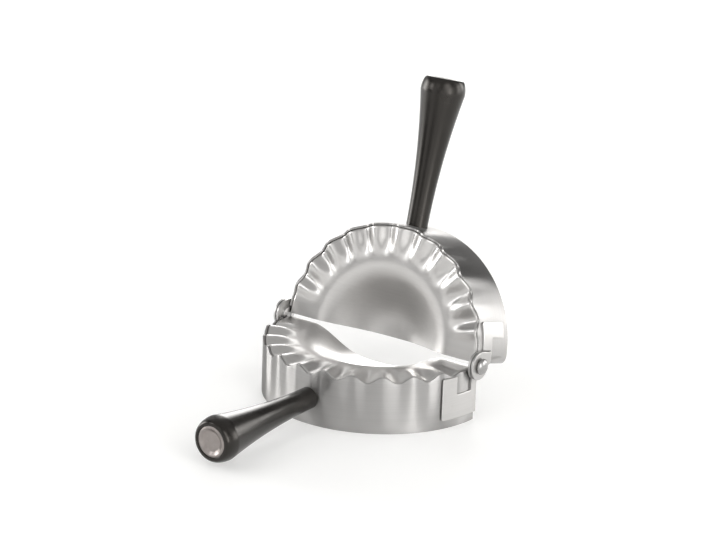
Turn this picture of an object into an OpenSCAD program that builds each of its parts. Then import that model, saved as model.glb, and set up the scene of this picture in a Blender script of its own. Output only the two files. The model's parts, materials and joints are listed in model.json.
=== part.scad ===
// Hinged dough press: two half rings with fluted cups, folded about a pivot on each side.
// Millimetres. X runs along the hinge, -Y points at the front handle, Z is up and z = 0 is the table.
// Each half is drawn on the +Y side, open and flat. half_place() then puts it where it stands.

/* [Ring] */
// Outside diameter of the ring
ring_d = 140; // [120:1:170]
// Thickness of the steel band
band_t = 1.2; // [0.8:0.1:1.6]
// Height of the rim above the table, halfway up its flutes
rim_h = 33; // [31:0.5:40]
// Distance between the ends of the two half rings when they lie flat
parting = 0.8; // [0.5:0.1:1.2]
// Radius of the lower corners where the back half ends
corner_r = 5; // [1:0.5:8]

/* [Flutes] */
// Number of flutes round each half
flutes = 12; // [8:2:14]
// Height of a flute's crest above the middle of the rim
flute_h = 1.9; // [0.4:0.1:2]
// Angle from the hinge at which the flutes begin to rise
flute_start = 8; // [5:1:10]
// Angle from the hinge at which the flutes have their full height
flute_full = 20; // [16:1:26]

/* [Cup] */
// Thickness of the cup's sheet
cup_t = 1.2; // [0.8:0.1:1.6]
// Width of the fluted flange round the bowl
flange_w = 20; // [14:1:26]
// Depth of the bowl below the flange
bowl_depth = 14; // [8:0.5:16]
// Height of the collar that fits inside the band
collar_h = 7; // [5:0.5:10]
// Gap between the collar and the band
collar_fit = 0.12; // [0.08:0.01:0.15]

/* [Hinge] */
// Angle that the back half is folded up from flat, as it stands
fold = 74.5; // [0:0.5:178]
// Height of the pivot above the rim
pivot_rise = 1.2; // [1:0.1:3]
// Diameter of the round ears
ear_d = 17; // [15:0.5:19]
// Thickness of the hinge plates and their ears
plate_t = 1.4; // [1:0.1:1.8]
// Clearance round an ear in the other half
ear_clear = 0.6; // [0.4:0.1:1.2]
// Gap between the band's side and the front ear
ear_gap = 0.2; // [0.15:0.05:0.5]
// Side play between the pieces on the pivot
side_play = 0.05; // [0.03:0.01:0.1]
// Diameter of the rivet's shank
rivet_d = 5; // [4:0.5:6]
// Gap between the shank and the holes that it passes, all round
rivet_fit = 0.05; // [0.03:0.01:0.08]
// Diameter of the rivet's domed head
head_d = 9.8; // [8:0.2:12]
// Height of the domed head
head_h = 3.6; // [2:0.1:4]
// Diameter of the rivet's closed tail
tail_d = 8; // [7:0.2:8.6]
// Thickness of the closed tail
tail_t = 0.8; // [0.6:0.1:0.8]
// Diameter of the friction washer between the ears
friction_d = 12; // [10:0.5:14]
// Thickness of the friction washer
friction_t = 0.5; // [0.4:0.1:0.8]
// Diameter of the backing washer under the tail
backing_d = 9; // [8.8:0.1:9.6]
// Thickness of the backing washer
backing_t = 0.5; // [0.4:0.1:0.5]
// Clearance round the backing washer in the bands
notch_clear = 0.7; // [0.4:0.1:1]

/* [Front hinge plate] */
// Length of the plate round the band
front_plate_l = 27.5; // [22:0.5:34]
// Height of the plate's lower edge above the table
front_plate_low = 5.5; // [4:0.5:9]
// Distance of the plate's upper edge below the middle of the rim
front_plate_drop = 1.6; // [1.4:0.1:3]
// Distance round the band at which the window beside the ear begins
window_start = 5.2; // [4:0.1:7]
// Distance round the band at which the window ends
window_end = 17; // [13:0.5:20]
// Height of the window's sill
window_low = 20.3; // [17:0.1:23]

/* [Back hinge plate] */
// Length of the plate round the band
back_plate_l = 25.4; // [20:0.2:32]
// Height of the plate's lower edge
back_plate_low = 6.5; // [5:0.5:9]
// Distance of the plate's upper edge below the middle of the rim
back_plate_drop = 3.5; // [2.5:0.5:5]
// Distance round the band at which the plate narrows to its stem
stem_l = 16; // [12:0.5:18]
// Width of the stem's edge below the bend
stem_edge = 1.2; // [0.8:0.1:3]
// Length of the bend that takes the plate out to its ear
joggle_l = 4.2; // [3:0.1:5]

/* [Handles] */
// Length of a handle from the band to its end
handle_l = 91; // [70:1:110]
// Height of the handle's middle on the band
handle_h = 16.4; // [15:0.1:18]
// Diameter of the grip at the band
neck_d = 13.2; // [12:0.2:16]
// Diameter of the grip where it is thickest
belly_d = 27.4; // [24:0.2:32]
// Distance from the grip's end to its thickest place
belly_back = 8.5; // [6:0.5:12]
// Diameter of the flat end face
end_d = 21.6; // [20:0.2:23.6]
// Diameter of the steel cap in the end face
cap_d = 17.6; // [16:0.2:19]
// Thickness of the cap's disc
cap_t = 1.6; // [1.2:0.1:2.4]
// Length of the collar behind the cap
cap_collar_l = 3; // [2:0.5:4]
// Wall of the cap's collar
cap_collar_t = 1; // [0.8:0.1:1.4]
// Width of the bevel round the cap
cap_bevel = 0.8; // [0.4:0.1:1]
// Diameter of the steel rod through the handle
rod_d = 5; // [4:0.5:6]
// Gap round the rod in what it passes
rod_fit = 0.1; // [0.05:0.01:0.2]
// Depth of the nut's pocket below the cap
pocket_l = 9; // [8:0.5:12]
// Diameter of the nut's pocket
pocket_d = 12; // [11.6:0.2:13.4]
// Diameter of the washer under the nut
rod_washer_d = 10.6; // [10:0.2:11.2]
// Thickness of the washer under the nut
rod_washer_t = 1; // [0.8:0.1:1.6]
// Width of the nut across its flats
nut_w = 8; // [7.5:0.1:9]
// Thickness of the nut
nut_t = 4; // [3:0.5:5]
// Length of rod that stands out of the nut
rod_end = 1.5; // [0.5:0.5:2]
// Diameter of the boss inside the band
boss_d = 12; // [10:0.5:13]
// Length of the boss inside the band
boss_l = 6; // [5:0.5:8]

/* [Hidden] */
$fn = 96;
ring_r = ring_d / 2;
band_in_r = ring_r - band_t;
cup_r = band_in_r - collar_fit;
bowl_r = cup_r - flange_w;
pivot_h = rim_h + pivot_rise;
// Heights of the pieces along the pivot, outwards from the middle of the press
front_ear_x = ring_r + ear_gap;
friction_x = front_ear_x + plate_t + side_play;
back_ear_x = friction_x + friction_t + side_play;
head_x = back_ear_x + plate_t + side_play;
backing_x = front_ear_x - side_play - backing_t;
tail_x = backing_x - side_play - tail_t;
notch_r = backing_d / 2 + notch_clear;
ear_r = ear_d / 2;
swing_r = ear_r + ear_clear;
// Heights along a handle, outwards from the band
cap_seat = handle_l - cap_t;
pocket_floor = cap_seat - pocket_l;
rod_top = pocket_floor + rod_washer_t + nut_t + rod_end;
grip_steps = 14;
shoulder_steps = 6;
// The cup's surface is worked out on rings and spokes
cup_rings = 12;
spokes = flutes * 6;
bowl_power = 1.4;
flute_reach = 0.7;
past = 2;
steel = "#c9c6c3";
bright_steel = "#dcdad8";
dark_plastic = "#23211f";

// Smooth step from 0 to 1
function ease(u) = let (v = max(0, min(1, u))) v * v * (3 - 2 * v);

// Share of the flutes' full height at angle a round a half
function flute_share(a) = ease((min(a, 180 - a) - flute_start) / (flute_full - flute_start));

// Where a half's ends stand: the front half ends under the pivot, the back half keeps its distance
function end_y(side) = side < 0 ? 0 : parting;

// Height of the rim at angle a. side is -1 on the front half and 1 on the back half,
// so that the crests of one half fall into the valleys of the other.
function rim_z(a, side) = rim_h + side * flute_h * flute_share(a) * cos(2 * flutes * a);

// Depth of the bowl at radius r, as a raised cosine
function bowl_z(r) = r < bowl_r ? bowl_depth * (1 + cos(180 * pow(r / bowl_r, bowl_power))) / 2 : 0;

// Height of the cup's upper face at radius r and angle a
function cup_z(r, a, side) =
    rim_h - bowl_z(r)
    + (rim_z(a, side) - rim_h) * ease((r - bowl_r) / (flute_reach * flange_w));

// One point of the cup, at spoke j of the ring with radius r. lift is added to the upper face,
// unless low is given, which is then the height itself.
function cup_point(r, j, side, lift, low) =
    let (start = asin(end_y(side) / r), a = start + (180 - 2 * start) * j / spokes)
    [r * cos(a), max(end_y(side), r * sin(a)), is_undef(low) ? cup_z(r, a, side) + lift : low];

// Two triangles for each step between row i and the next row of a grid with n points a row
function strip(i, n) = [
    for (j = [0:n - 2])
        each [
            [i * n + j, i * n + j + 1, (i + 1) * n + j],
            [i * n + j + 1, (i + 1) * n + j + 1, (i + 1) * n + j]
        ]
];

// Puts a half where it stands: the front half is turned round, the back half folded up
module half_place(side) {
    if (side < 0) {
        mirror([0, 1, 0]) children();
    } else {
        translate([0, 0, pivot_h]) rotate([fold, 0, 0]) translate([0, 0, -pivot_h]) children();
    }
}

// Turns a shape drawn along Z so that it runs out of the band along the handle
module along_handle() {
    translate([0, ring_r, handle_h]) rotate([-90, 0, 0]) children();
}

// Turns a shape drawn along Z so that it runs out along the right pivot
module along_pivot() {
    translate([0, 0, pivot_h]) rotate([0, 90, 0]) children();
}

// Wall between two radii, from one distance round the band to another
module arc_wall(r_in, r_out, from, to, low, high) {
    a_from = from / ring_r * 180 / PI;
    a_to = to / ring_r * 180 / PI;
    rotate([0, 0, a_from])
        rotate_extrude(angle = a_to - a_from, $fn = 180)
            translate([r_in, low]) square([r_out - r_in, high - low]);
}

// Everything above the wavy rim, as a block to cut away
module above_rim(side) {
    n = spokes + 1;
    top = rim_h + flute_h + past;
    walls = [band_in_r - past, ring_r + past];
    rows = [
        for (k = [0:3], j = [0:spokes])
            let (a = 180 * j / spokes, r = walls[k == 1 || k == 2 ? 1 : 0])
            [r * cos(a), r * sin(a), k < 2 ? rim_z(a, side) : top]
    ];
    around = [for (k = [0:3], f = strip(k, n)) [for (p = f) p % (4 * n)]];
    ends = [[for (k = [3:-1:0]) k * n], [for (k = [0:3]) k * n + spokes]];
    polyhedron(points = rows, faces = concat(around, ends), convexity = 8);
}

// Rounds a lower corner where a half ring ends
module corner_cut() {
    translate([0, parting, 0]) rotate([0, 90, 0]) translate([0, 0, -ring_d])
        difference() {
            translate([-corner_r, -past, 0]) cube([corner_r + past, corner_r + past, 2 * ring_d]);
            translate([-corner_r, corner_r, -past]) cylinder(r = corner_r, h = 2 * (ring_d + past));
        }
}

// Half of the ring that stands on the table and cuts the dough
module band(side) {
    color(steel) difference() {
        cylinder(r = ring_r, h = rim_h + flute_h, $fn = 180);
        translate([0, 0, -past]) cylinder(r = band_in_r, h = rim_h + flute_h + 2 * past, $fn = 180);
        translate([-ring_d, end_y(side) - 2 * ring_d, -past]) cube([2 * ring_d, 2 * ring_d, 3 * rim_h]);
        above_rim(side);
        if (side > 0) corner_cut();
        translate([-ring_d, 0, pivot_h]) rotate([0, 90, 0]) cylinder(r = notch_r, h = 2 * ring_d);
        along_handle() translate([0, 0, -2 * band_t]) cylinder(d = rod_d + 2 * rod_fit, h = 4 * band_t);
    }
}

// Fluted press cup with a collar that fits inside the band
module cup(side) {
    n = spokes + 1;
    collar_low = rim_h - collar_h;
    inner_r = cup_r - cup_t;
    upper = [for (k = [1:cup_rings]) [cup_r * k / cup_rings, 0, undef]];
    collar = [[cup_r, 0, collar_low], [inner_r, 0, collar_low]];
    lower = [for (k = [cup_rings:-1:1]) [min(inner_r, cup_r * k / cup_rings), -cup_t, undef]];
    rows = concat(upper, collar, lower);
    grid = [for (row = rows, j = [0:spokes]) cup_point(row[0], j, side, row[1], row[2])];
    middle = [
        [0, end_y(side), rim_h - bowl_depth],
        [0, end_y(side), rim_h - bowl_depth - cup_t]
    ];
    top_i = len(grid);
    low_i = top_i + 1;
    last = (len(rows) - 1) * n;
    around = [for (k = [0:len(rows) - 2]) each strip(k, n)];
    fan_top = [for (j = [0:spokes - 1]) [top_i, j + 1, j]];
    fan_low = [for (j = [0:spokes - 1]) [low_i, last + j, last + j + 1]];
    ends = [
        concat([top_i], [for (k = [0:len(rows) - 1]) k * n], [low_i]),
        concat([low_i], [for (k = [len(rows) - 1:-1:0]) k * n + spokes], [top_i])
    ];
    color(bright_steel)
        polyhedron(points = concat(grid, middle), faces = concat(around, fan_top, fan_low, ends), convexity = 8);
}

// Front plate: welded on the band, with a window beside the inner ear
module front_hinge_plate() {
    high = rim_h - front_plate_drop;
    start = end_y(-1) + side_play;
    color(steel) difference() {
        union() {
            difference() {
                arc_wall(ring_r, ring_r + plate_t, start, front_plate_l, front_plate_low, high);
                arc_wall(
                    ring_r - past, ring_r + plate_t + past,
                    window_start, window_end, window_low, high + past
                );
                along_pivot() cylinder(r = notch_r, h = ring_d);
            }
            along_pivot() translate([0, 0, front_ear_x]) cylinder(d = ear_d, h = plate_t);
            translate([front_ear_x, start, window_low])
                cube([plate_t, window_start - start, pivot_h - window_low]);
        }
        along_pivot() cylinder(d = rivet_d + 2 * rivet_fit, h = ring_d);
    }
}

// Back plate: welded on the band, with a narrower stem that bends out to the outer ear
module back_hinge_plate() {
    high = rim_h - back_plate_drop;
    start = end_y(1) + side_play;
    bend_top = pivot_h - swing_r;
    bend_low = bend_top - joggle_l;
    stem_low = bend_low - stem_edge;
    lap = 0.2;
    neck = [
        [ring_r + lap, bend_low], [ring_r + plate_t, bend_low],
        [back_ear_x + plate_t, bend_top], [back_ear_x + plate_t, pivot_h],
        [back_ear_x, pivot_h], [back_ear_x, bend_top]
    ];
    color(steel) difference() {
        union() {
            difference() {
                arc_wall(ring_r, ring_r + plate_t, start, back_plate_l, back_plate_low, high);
                arc_wall(
                    ring_r - past, ring_r + plate_t + past,
                    start - past, stem_l, back_plate_low - past, stem_low
                );
                along_pivot() cylinder(r = swing_r, h = ring_d);
                translate([ring_r - past, 0, bend_low + lap]) cube([2 * past + plate_t, ear_r, rim_h]);
            }
            translate([0, ear_r, 0]) rotate([90, 0, 0]) linear_extrude(ear_r - start) polygon(neck);
            along_pivot() translate([0, 0, back_ear_x]) cylinder(d = ear_d, h = plate_t);
        }
        along_pivot() cylinder(d = rivet_d + 2 * rivet_fit, h = ring_d);
    }
}

// Domed rivet with a shank through both ears and a closed tail
module hinge_rivet() {
    dome_r = (head_d * head_d / 4 + head_h * head_h) / (2 * head_h);
    dome_a = asin(head_d / 2 / dome_r);
    dome = [
        for (k = [0:12])
            let (a = dome_a * (1 - k / 12))
            [dome_r * sin(a), head_x + head_h - dome_r + dome_r * cos(a)]
    ];
    color(bright_steel) along_pivot() rotate_extrude() polygon(concat(
        [[0, tail_x], [tail_d / 2, tail_x], [tail_d / 2, tail_x + tail_t], [rivet_d / 2, tail_x + tail_t]],
        [[rivet_d / 2, head_x]],
        dome
    ));
}

// Flat washer on the pivot
module pivot_washer(d, t, x) {
    color(steel) along_pivot() translate([0, 0, x])
        difference() {
            cylinder(d = d, h = t);
            translate([0, 0, -past]) cylinder(d = rivet_d + 2 * rivet_fit, h = t + 2 * past);
        }
}

// Round boss welded inside the band, which the rod screws into
module handle_boss() {
    color(steel) along_handle() difference() {
        intersection() {
            translate([0, 0, -band_t - boss_l]) cylinder(d = boss_d, h = boss_l + band_t);
            translate([0, handle_h, -ring_r]) rotate([90, 0, 0]) cylinder(r = band_in_r, h = ring_d, $fn = 180);
        }
        translate([0, 0, -band_t - boss_l - past]) cylinder(d = rod_d + 2 * rod_fit, h = 2 * boss_l + past);
    }
}

// Steel rod from the boss through the grip to the nut
module handle_rod() {
    rod_low = -band_t - boss_l;
    color(bright_steel) along_handle() translate([0, 0, rod_low]) cylinder(d = rod_d, h = rod_top - rod_low);
}

// Radius of the grip at height t: a parabola from the neck to the belly
function grip_r(t) = neck_d / 2 + (belly_d - neck_d) / 2 * pow(t / (handle_l - belly_back), 2);

// Plastic grip: thin at the band, thickest near its end, with a rounded shoulder
module grip() {
    belly_at = handle_l - belly_back;
    flare = [for (k = [0:grip_steps]) let (t = belly_at * k / grip_steps) [grip_r(t), t]];
    shoulder = [
        for (k = [1:shoulder_steps])
            let (a = 90 * k / shoulder_steps)
            [end_d / 2 + (belly_d - end_d) / 2 * cos(a), belly_at + belly_back * sin(a)]
    ];
    color(dark_plastic) along_handle() difference() {
        rotate_extrude() polygon(concat(
            [[0, -band_t], [neck_d / 2, -band_t]], flare, shoulder, [[0, handle_l]]
        ));
        translate([0, ring_d, -ring_r]) rotate([90, 0, 0]) cylinder(r = ring_r, h = 2 * ring_d, $fn = 180);
        translate([0, 0, -past]) cylinder(d = rod_d + 2 * rod_fit, h = handle_l);
        translate([0, 0, pocket_floor]) cylinder(d = pocket_d, h = handle_l);
        translate([0, 0, cap_seat - cap_collar_l]) cylinder(d = cap_d, h = handle_l);
    }
}

// Washer on the floor of the nut's pocket
module rod_washer() {
    color(steel) along_handle() translate([0, 0, pocket_floor])
        difference() {
            cylinder(d = rod_washer_d, h = rod_washer_t);
            translate([0, 0, -past]) cylinder(d = rod_d + 2 * rod_fit, h = rod_washer_t + 2 * past);
        }
}

// Hexagonal nut that draws the grip against the band
module rod_nut() {
    color(steel) along_handle() translate([0, 0, pocket_floor + rod_washer_t])
        difference() {
            cylinder(d = nut_w / cos(30), h = nut_t, $fn = 6);
            translate([0, 0, -past]) cylinder(d = rod_d + 2 * rod_fit, h = nut_t + 2 * past);
        }
}

// Bevelled steel cap with a collar that holds it in the grip
module end_cap() {
    color(bright_steel) along_handle() rotate_extrude() polygon([
        [0, cap_seat],
        [cap_d / 2 - cap_collar_t, cap_seat],
        [cap_d / 2 - cap_collar_t, cap_seat - cap_collar_l],
        [cap_d / 2, cap_seat - cap_collar_l],
        [cap_d / 2, handle_l - cap_bevel / 2],
        [cap_d / 2 - cap_bevel, handle_l],
        [0, handle_l]
    ]);
}

half_place(-1) band(-1);  // front_band
half_place(-1) cup(-1);  // front_cup
half_place(-1) front_hinge_plate();  // front_hinge_plate_right
half_place(-1) mirror([1, 0, 0]) front_hinge_plate();  // front_hinge_plate_left
half_place(-1) handle_boss();  // front_handle_boss
half_place(-1) handle_rod();  // front_handle_rod
half_place(-1) grip();  // front_grip
half_place(-1) rod_washer();  // front_rod_washer
half_place(-1) rod_nut();  // front_rod_nut
half_place(-1) end_cap();  // front_end_cap
half_place(1) band(1);  // back_band
half_place(1) cup(1);  // back_cup
half_place(1) back_hinge_plate();  // back_hinge_plate_right
half_place(1) mirror([1, 0, 0]) back_hinge_plate();  // back_hinge_plate_left
half_place(1) handle_boss();  // back_handle_boss
half_place(1) handle_rod();  // back_handle_rod
half_place(1) grip();  // back_grip
half_place(1) rod_washer();  // back_rod_washer
half_place(1) rod_nut();  // back_rod_nut
half_place(1) end_cap();  // back_end_cap
half_place(1) hinge_rivet();  // hinge_rivet_right
half_place(1) mirror([1, 0, 0]) hinge_rivet();  // hinge_rivet_left
pivot_washer(friction_d, friction_t, friction_x);  // friction_washer_right
mirror([1, 0, 0]) pivot_washer(friction_d, friction_t, friction_x);  // friction_washer_left
pivot_washer(backing_d, backing_t, backing_x);  // backing_washer_right
mirror([1, 0, 0]) pivot_washer(backing_d, backing_t, backing_x);  // backing_washer_left
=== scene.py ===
# %% [markdown]
# A hinged empanada press, dressed in Blender.
# The press is two half rings of brushed steel, joined by a riveted hinge on each side. Each half carries a
# fluted press cup and a black grip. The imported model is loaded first, as a fixed frame: its pieces say where
# everything stands, and nothing in it is moved. Every surface below is worked out from those places.

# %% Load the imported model
import json
import math

import bpy
import bmesh
import numpy as np
from mathutils import Matrix, Vector
from mathutils.geometry import delaunay_2d_cdt


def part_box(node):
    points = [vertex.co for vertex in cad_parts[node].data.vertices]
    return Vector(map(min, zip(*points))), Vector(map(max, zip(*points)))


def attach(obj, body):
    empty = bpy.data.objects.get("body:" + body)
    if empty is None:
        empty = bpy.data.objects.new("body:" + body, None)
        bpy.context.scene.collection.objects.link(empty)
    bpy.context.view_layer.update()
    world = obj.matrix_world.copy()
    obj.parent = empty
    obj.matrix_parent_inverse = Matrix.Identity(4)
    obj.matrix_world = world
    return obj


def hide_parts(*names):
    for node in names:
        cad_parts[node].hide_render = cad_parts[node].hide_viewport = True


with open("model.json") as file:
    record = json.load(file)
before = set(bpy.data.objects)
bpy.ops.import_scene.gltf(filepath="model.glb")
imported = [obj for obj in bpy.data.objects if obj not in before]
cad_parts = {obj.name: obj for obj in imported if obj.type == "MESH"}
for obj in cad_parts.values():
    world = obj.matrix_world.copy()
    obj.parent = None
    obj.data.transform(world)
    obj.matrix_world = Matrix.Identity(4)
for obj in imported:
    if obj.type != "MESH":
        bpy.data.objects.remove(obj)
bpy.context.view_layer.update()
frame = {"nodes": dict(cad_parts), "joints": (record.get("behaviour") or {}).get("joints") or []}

scene = bpy.context.scene
nodes = frame["nodes"]

# %% [markdown]
# The driving sizes are in millimetres, because sheet metal is drawn in millimetres. Those that the frame
# already holds are read from it, so that the dressed press can't drift away from the solid one. The rest are
# the small sizes of a bend, a rounding or a gap.

# %% Driving sizes
MM = 0.001


def box_mm(node):
    """Lowest and highest corner of one of the frame's pieces, in millimetres."""
    low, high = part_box(node)
    return np.array(low) / MM, np.array(high) / MM


fold_joint = frame["joints"][0]
PIVOT_H = fold_joint["pos_m"][2] / MM
FOLD = -fold_joint["range_deg"][0]
RING_R = box_mm("front_band")[1][0]
CUP_R = box_mm("front_cup")[1][0]
FLUTE_H = 1.9
RIM_H = box_mm("front_band")[1][2] - FLUTE_H
BAND_T = 1.2
SHEET_T = 1.2
PARTING = 0.8
BACK_CORNER_R = 5.0
FLUTES = 12
FLUTE_START, FLUTE_FULL = 8.0, 20.0
FLANGE_W = 20.0
BOWL_R = CUP_R - FLANGE_W
BOWL_DEPTH = 14.0
BOWL_POWER = 1.4
FLUTE_REACH = 0.7
COLLAR_H = 7.0
NOTCH_R = 5.2
EAR_R = 8.5
PLATE_T = 1.4
RIVET_HOLE_R = 2.55
print("ring radius", round(RING_R, 2), "rim", round(RIM_H, 2), "pivot", round(PIVOT_H, 2), "fold", FOLD)

# %% [markdown]
# The camera stands where the photograph's camera stood. Its angle, distance and lens come from fitting the
# ring, the rim and both grips to the picture, and the picture is framed by moving the camera sideways, so
# that the lens needs no shift. The helper turns an azimuth and an elevation into the three axes of a camera.

# %% Camera
CAMERA_AZIMUTH, CAMERA_ELEVATION, CAMERA_ROLL = 35.319, 18.375, 1.956
CAMERA_DISTANCE = 1642.14
CAMERA_SIDE, CAMERA_RISE, LOOK_HEIGHT = -12.08, 54.738, 20.0
FOCAL_PIXELS, PICTURE_W, SENSOR_W = 2713.79, 716, 36.0


def camera_axes(azimuth, elevation, roll):
    """Right, up and back axes of a camera: back points from the object to the camera, right is level, and
    the roll then turns right and up about back."""
    a, e, r = np.radians([azimuth, elevation, roll])
    back = np.array([np.sin(a) * np.cos(e), -np.cos(a) * np.cos(e), np.sin(e)])
    level = np.array([np.cos(a), np.sin(a), 0.0])
    up = np.cross(back, level)
    return np.cos(r) * level + np.sin(r) * up, np.cos(r) * up - np.sin(r) * level, back


right, up, back = camera_axes(CAMERA_AZIMUTH, CAMERA_ELEVATION, CAMERA_ROLL)
eye = np.array([0, 0, LOOK_HEIGHT]) + back * CAMERA_DISTANCE + right * CAMERA_SIDE + up * CAMERA_RISE
camera_data = bpy.data.cameras.new("camera")
camera_data.sensor_width = SENSOR_W
camera_data.lens = FOCAL_PIXELS / PICTURE_W * SENSOR_W
camera = bpy.data.objects.new("camera", camera_data)
turn = Matrix([[right[i], up[i], back[i], 0] for i in range(3)] + [[0, 0, 0, 1]])
camera.matrix_world = Matrix.Translation(Vector(eye * MM)) @ turn
scene.collection.objects.link(camera)
scene.camera = camera
print("camera at", np.round(eye, 1), "mm, lens", round(camera_data.lens, 1), "mm")

# %% [markdown]
# The press stands on a pale round table, just inside the foot of the dome that comes next. A square sheet
# would do as well, but its corners would stick out under the dome. The table's colour keeps the shadow of the
# press. It adds white only for the rays that come from the camera or from a mirror, so the press itself gets
# no more light from it.

# %% Floor
FLOOR_R, FLOOR_STEPS = 2.28, 96


def new_material(name):
    """A material with an empty node tree, its output and its Principled BSDF."""
    material = bpy.data.materials.new(name)
    material.use_nodes = True
    tree = material.node_tree
    tree.nodes.clear()
    output = tree.nodes.new("ShaderNodeOutputMaterial")
    shader = tree.nodes.new("ShaderNodeBsdfPrincipled")
    tree.links.new(shader.outputs["BSDF"], output.inputs["Surface"])
    return material, tree, shader


def seen_rays(tree):
    """1 for the rays that come from the camera, from a mirror or through glass, and 0 for all others."""
    path = tree.nodes.new("ShaderNodeLightPath")
    first = tree.nodes.new("ShaderNodeMath")
    second = tree.nodes.new("ShaderNodeMath")
    first.operation = second.operation = "MAXIMUM"
    tree.links.new(path.outputs["Is Camera Ray"], first.inputs[0])
    tree.links.new(path.outputs["Is Glossy Ray"], first.inputs[1])
    tree.links.new(first.outputs[0], second.inputs[0])
    tree.links.new(path.outputs["Is Transmission Ray"], second.inputs[1])
    return second.outputs[0]


floor_mesh = bpy.data.meshes.new("floor")
turns = np.linspace(0, 2 * np.pi, FLOOR_STEPS, endpoint=False)
floor_edge = FLOOR_R * np.stack([np.cos(turns), np.sin(turns), 0 * turns], -1)
floor_mesh.from_pydata(floor_edge.tolist(), [], [list(range(FLOOR_STEPS))])
floor = bpy.data.objects.new("floor", floor_mesh)
scene.collection.objects.link(floor)

FLOOR_COLOUR = (0.84, 0.84, 0.835, 1)
FLOOR_LIFT = 0.2
floor_material, tree, shader = new_material("pale_floor")
shader.inputs["Base Color"].default_value = FLOOR_COLOUR
shader.inputs["Roughness"].default_value = 0.9
shader.inputs["Emission Color"].default_value = (1, 1, 0.995, 1)
lift = tree.nodes.new("ShaderNodeMath")
lift.operation = "MULTIPLY"
lift.inputs[1].default_value = FLOOR_LIFT
tree.links.new(seen_rays(tree), lift.inputs[0])
tree.links.new(lift.outputs[0], shader.inputs["Emission Strength"])
floor_mesh.materials.append(floor_material)
print("floor", 2 * FLOOR_R, "m across")

# %% [markdown]
# Brushed steel shows its surroundings, so the surroundings come before the steel. A photographer stands white
# and grey cards round such an object, because a cylinder of satin steel turns every card into a tall soft
# streak. Many lamps could do the same. One dome, whose brightness changes with the direction, is simpler, and
# each card fades into the next. The camera doesn't see the dome. A card is an azimuth, from +X towards +Y,
# and a level. The levels were found by rendering each card alone and weighing the streaks against each other.

# %% Dome of cards
DOME_R = 2.3
DOME_RINGS = np.array([0.05, 5, 10, 15, 20, 25, 30, 36, 42, 50, 60, 75, 89.5])
DOME_STEP = 2.5
LOW_CARDS = [
    (-180, 4.0), (-174, 6.4), (-168, 9.6), (-162, 7.4), (-155, 5.4), (-146, 1.2), (-138, 0.2), (-121, 0.2),
    (-111, 1.4), (-97, 1.2), (-85, 0.4), (-70, 0.8), (-58, 1.7), (-47, 1.2), (-38, 2.1), (-30, 2.4),
    (-20, 6.3), (-15, 6.4), (-5, 1.4), (5, 1.7), (12, 0.5), (20, 1.0), (28, 3.4), (37, 5.6), (46, 2.4),
    (54, 1.4), (60, 6.0), (65, 8.6), (70, 3.6), (75, 0.1), (105, 0.1), (110, 1.0), (115, 7.0), (122, 8.0),
    (130, 4.6), (137, 0.2), (150, 0.6), (165, 0.4), (172, 2.0), (180, 4.0),
]
HIGH_CARDS = [
    (-180, 0.0), (-120, 0.1), (-90, 1.6), (-60, 0.1), (-30, 4.3), (0, 0.1), (30, 1.1), (60, 0.1), (90, 0.1),
    (105, 0.4), (116, 2.8), (128, 2.8), (138, 0.4), (150, 0.9), (180, 0.0),
]
CEILING = 0.56
LOW_FADE, HIGH_FADE = (20, 30), (42, 50)


def dome_points():
    """Rings of a dome: at each elevation a circle, of the dome's radius times the elevation's cosine."""
    around = np.arange(-180, 180, DOME_STEP)
    e, a = np.meshgrid(np.radians(DOME_RINGS), np.radians(around), indexing="ij")
    return DOME_R * np.stack([np.cos(e) * np.cos(a), np.cos(e) * np.sin(a), np.sin(e)], -1)


def dome_levels():
    """Brightness at each point of the dome: the low cards up to the low fade, the high cards above it, and
    the ceiling above the high fade. The three shares add up to 1, and cards fade evenly into each other."""
    around = np.arange(-180, 180, DOME_STEP)
    low_row, high_row = (np.interp(around, *np.transpose(cards)) for cards in (LOW_CARDS, HIGH_CARDS))
    low = np.interp(DOME_RINGS, LOW_FADE, (1, 0))[:, None]
    ceiling = np.interp(DOME_RINGS, HIGH_FADE, (0, 1))[:, None]
    return low * low_row + (1 - low - ceiling) * high_row + CEILING * ceiling


dome_rows = dome_points()
index = np.arange(dome_rows.shape[0] * dome_rows.shape[1]).reshape(dome_rows.shape[:2])
ring = np.hstack([index, index[:, :1]])
dome_faces = np.stack([ring[:-1, :-1], ring[:-1, 1:], ring[1:, 1:], ring[1:, :-1]], -1).reshape(-1, 4)
dome_mesh = bpy.data.meshes.new("dome")
dome_mesh.from_pydata(dome_rows.reshape(-1, 3).tolist(), [], dome_faces.tolist())
level = dome_mesh.attributes.new("level", "FLOAT", "POINT")
level.data.foreach_set("value", dome_levels().astype(np.float32).ravel())
dome = bpy.data.objects.new("dome", dome_mesh)
dome.visible_camera = False
scene.collection.objects.link(dome)

dome_material, tree, shader = new_material("studio_cards")
shader.inputs["Base Color"].default_value = (0, 0, 0, 1)
shader.inputs["Specular IOR Level"].default_value = 0.0
shader.inputs["Emission Color"].default_value = (1, 0.995, 0.985, 1)
attribute = tree.nodes.new("ShaderNodeAttribute")
attribute.attribute_name = "level"
tree.links.new(attribute.outputs["Fac"], shader.inputs["Emission Strength"])
dome_mesh.materials.append(dome_material)
print(len(LOW_CARDS), "steps in the low cards,", len(HIGH_CARDS), "in the high ones")

# %% [markdown]
# The world is what lies beyond the dome. The camera looks through the dome and finds the world white, as a
# studio's backdrop is. A white sheet behind the press would do that too, but from one side only. Rays that
# only carry light find a plain grey. The view transform is Standard, so that colours come out as written.

# %% World
WORLD_LEVEL = 0.55

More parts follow.
